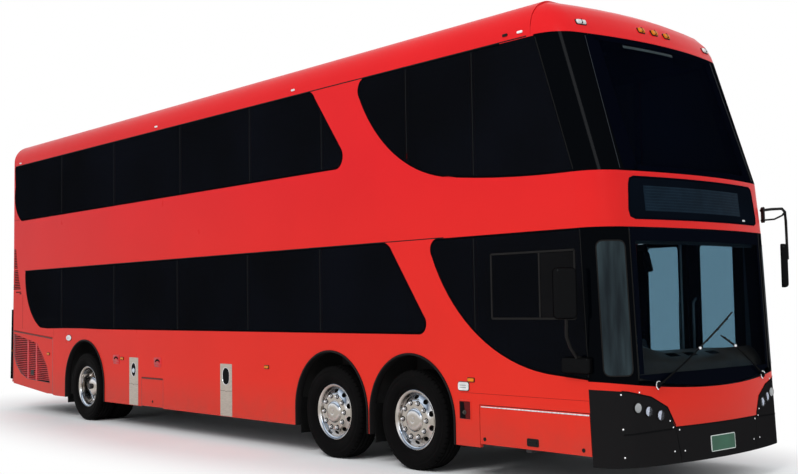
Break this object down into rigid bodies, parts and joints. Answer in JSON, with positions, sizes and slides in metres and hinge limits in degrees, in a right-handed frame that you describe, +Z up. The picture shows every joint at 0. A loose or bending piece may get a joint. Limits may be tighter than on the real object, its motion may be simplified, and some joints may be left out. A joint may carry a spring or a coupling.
{
  "type": "three-axle double-decker bus",
  "caption": "Tall red double-decker bus with two steered front axles, twin rear wheels, flush dark windows, kerb-side entrance doors, lift-up flaps and hollow decks.",
  "frame": {"origin": "on the ground, midway along and across the vehicle", "axes": "+X forward, +Y to the left (kerb) side, +Z up"},
  "size_m": [12.55, 3.1202, 4.25],
  "materials": {
    "red_paint": "glossy bus red",
    "black_paint": "gloss black",
    "black_plastic": "satin black",
    "tinted_glass": "dark tinted, glossy",
    "screen_glass": "lightly tinted, glossy",
    "sign_glass": "blank dark sign pane",
    "frame_steel": "dark chassis paint",
    "sheet_steel": "plain sheet",
    "wheel_chrome": "polished wheel",
    "tyre": "worn black rubber",
    "spring_rubber": "moulded rubber",
    "lamp_clear": "clear lamp lens",
    "lamp_red": "red lamp lens",
    "lamp_amber": "amber lamp lens",
    "seat_fabric": "blue moquette",
    "floor_vinyl": "grey floor covering",
    "cab_plastic": "grey grained moulding",
    "engine_iron": "oily cast block"
  },
  "bodies": {
    "body": {"air_springs": "spring_rubber", "chassis_rails": "frame_steel", "corner_pillars": "black_paint", "dashboard": "cab_plastic", "destination_sign": "sign_glass", "driver_seat": "seat_fabric", "engine": "engine_iron", "floor_risers": "floor_vinyl", "frame_crossmembers": "frame_steel", "front_axles": "frame_steel", "front_band": "red_paint", "front_bumper": "black_paint", "front_panel": "red_paint", "headlamps": "lamp_clear", "left_side_wall": "red_paint", "lower_floor": "floor_vinyl", "lower_windscreen": "screen_glass", "mirrors": "black_plastic", "passenger_seats": "seat_fabric", "rear_axle": "frame_steel", "rear_wall": "red_paint", "right_side_wall": "red_paint", "roof": "red_paint", "saloon_windows": "tinted_glass", "spring_towers": "frame_steel", "staircase": "floor_vinyl", "steering_wheel": "black_plastic", "tail_lamps": "lamp_red", "upper_floor": "floor_vinyl", "upper_windscreen": "screen_glass", "wheel_housings": "sheet_steel", "wipers": "black_plastic"},
    "door_rear_leaf": {"door_leaf_rear": "black_paint", "door_glass_rear": "tinted_glass"},
    "door_front_leaf": {"door_leaf_front": "black_paint", "door_glass_front": "tinted_glass"},
    "front_locker": {"front_locker_flap": "red_paint"},
    "small_locker": {"small_locker_flap": "red_paint"},
    "right_engine_door": {"engine_door_right": "red_paint"},
    "left_engine_door": {"engine_door_left": "red_paint"},
    "tail_engine_door": {"rear_engine_door": "red_paint"},
    "steer_knuckle_1_left": {"knuckle_1_left": "frame_steel"},
    "wheel_1_left": {"rim_1_left": "wheel_chrome", "tyre_1_left": "tyre"},
    "steer_knuckle_2_left": {"knuckle_2_left": "frame_steel"},
    "wheel_2_left": {"rim_2_left": "wheel_chrome", "tyre_2_left": "tyre"},
    "twin_wheels_left": {"twin_rims_left": "wheel_chrome", "twin_tyres_left": "tyre"},
    "steer_knuckle_1_right": {"knuckle_1_right": "frame_steel"},
    "wheel_1_right": {"rim_1_right": "wheel_chrome", "tyre_1_right": "tyre"},
    "steer_knuckle_2_right": {"knuckle_2_right": "frame_steel"},
    "wheel_2_right": {"rim_2_right": "wheel_chrome", "tyre_2_right": "tyre"},
    "twin_wheels_right": {"twin_rims_right": "wheel_chrome", "twin_tyres_right": "tyre"}
  },
  "joints": [
    {"name": "steer_1_right", "type": "hinge", "parent": "body", "child": "steer_knuckle_1_right", "pos_m": [3.648, -0.9, 0.4785], "axis": [0, 0, 1], "range_deg": [-38, 38]},
    {"name": "spin_1_right", "type": "hinge", "parent": "steer_knuckle_1_right", "child": "wheel_1_right", "pos_m": [3.648, -1.097, 0.4785], "axis": [0, 1, 0], "continuous": true},
    {"name": "steer_1_left", "type": "hinge", "parent": "body", "child": "steer_knuckle_1_left", "pos_m": [3.648, 0.9, 0.4785], "axis": [0, 0, 1], "range_deg": [-38, 38]},
    {"name": "spin_1_left", "type": "hinge", "parent": "steer_knuckle_1_left", "child": "wheel_1_left", "pos_m": [3.648, 1.097, 0.4785], "axis": [0, 1, 0], "continuous": true},
    {"name": "steer_2_right", "type": "hinge", "parent": "body", "child": "steer_knuckle_2_right", "pos_m": [2.385, -0.9, 0.4785], "axis": [0, 0, 1], "range_deg": [-32, 32]},
    {"name": "spin_2_right", "type": "hinge", "parent": "steer_knuckle_2_right", "child": "wheel_2_right", "pos_m": [2.385, -1.097, 0.4785], "axis": [0, 1, 0], "continuous": true},
    {"name": "steer_2_left", "type": "hinge", "parent": "body", "child": "steer_knuckle_2_left", "pos_m": [2.385, 0.9, 0.4785], "axis": [0, 0, 1], "range_deg": [-32, 32]},
    {"name": "spin_2_left", "type": "hinge", "parent": "steer_knuckle_2_left", "child": "wheel_2_left", "pos_m": [2.385, 1.097, 0.4785], "axis": [0, 1, 0], "continuous": true},
    {"name": "spin_rear_right", "type": "hinge", "parent": "body", "child": "twin_wheels_right", "pos_m": [-3.41, -0.942, 0.4785], "axis": [0, 1, 0], "continuous": true},
    {"name": "spin_rear_left", "type": "hinge", "parent": "body", "child": "twin_wheels_left", "pos_m": [-3.41, 0.942, 0.4785], "axis": [0, 1, 0], "continuous": true},
    {"name": "door_rear_turn", "type": "hinge", "parent": "body", "child": "door_rear_leaf", "pos_m": [4.52, 1.214, 1.28], "axis": [0, 0, -1], "range_deg": [0, 85]},
    {"name": "door_front_turn", "type": "hinge", "parent": "body", "child": "door_front_leaf", "pos_m": [5.75, 1.214, 1.28], "axis": [0, 0, 1], "range_deg": [0, 85]},
    {"name": "front_locker_lift", "type": "hinge", "parent": "body", "child": "front_locker", "pos_m": [5.21, -1.25, 0.676], "axis": [-1, 0, 0], "range_deg": [0, 110]},
    {"name": "small_locker_lift", "type": "hinge", "parent": "body", "child": "small_locker", "pos_m": [-1.425, -1.25, 0.677], "axis": [-1, 0, 0], "range_deg": [0, 100]},
    {"name": "right_engine_door_lift", "type": "hinge", "parent": "body", "child": "right_engine_door", "pos_m": [-4.496, -1.25, 1.16], "axis": [-0.9976, 0, 0.0686], "range_deg": [0, 80]},
    {"name": "left_engine_door_lift", "type": "hinge", "parent": "body", "child": "left_engine_door", "pos_m": [-4.496, 1.25, 1.16], "axis": [0.9976, 0, -0.0686], "range_deg": [0, 80]},
    {"name": "tail_engine_door_lift", "type": "hinge", "parent": "body", "child": "tail_engine_door", "pos_m": [-6.25246, 0, 1.42], "axis": [0, 1, 0], "range_deg": [0, 85]}
  ],
  "couplings": [
    {"joint": "steer_1_left", "follows": "steer_1_right", "ratio": 1},
    {"joint": "steer_2_right", "follows": "steer_1_right", "ratio": 0.82},
    {"joint": "steer_2_left", "follows": "steer_1_right", "ratio": 0.82}
  ]
}
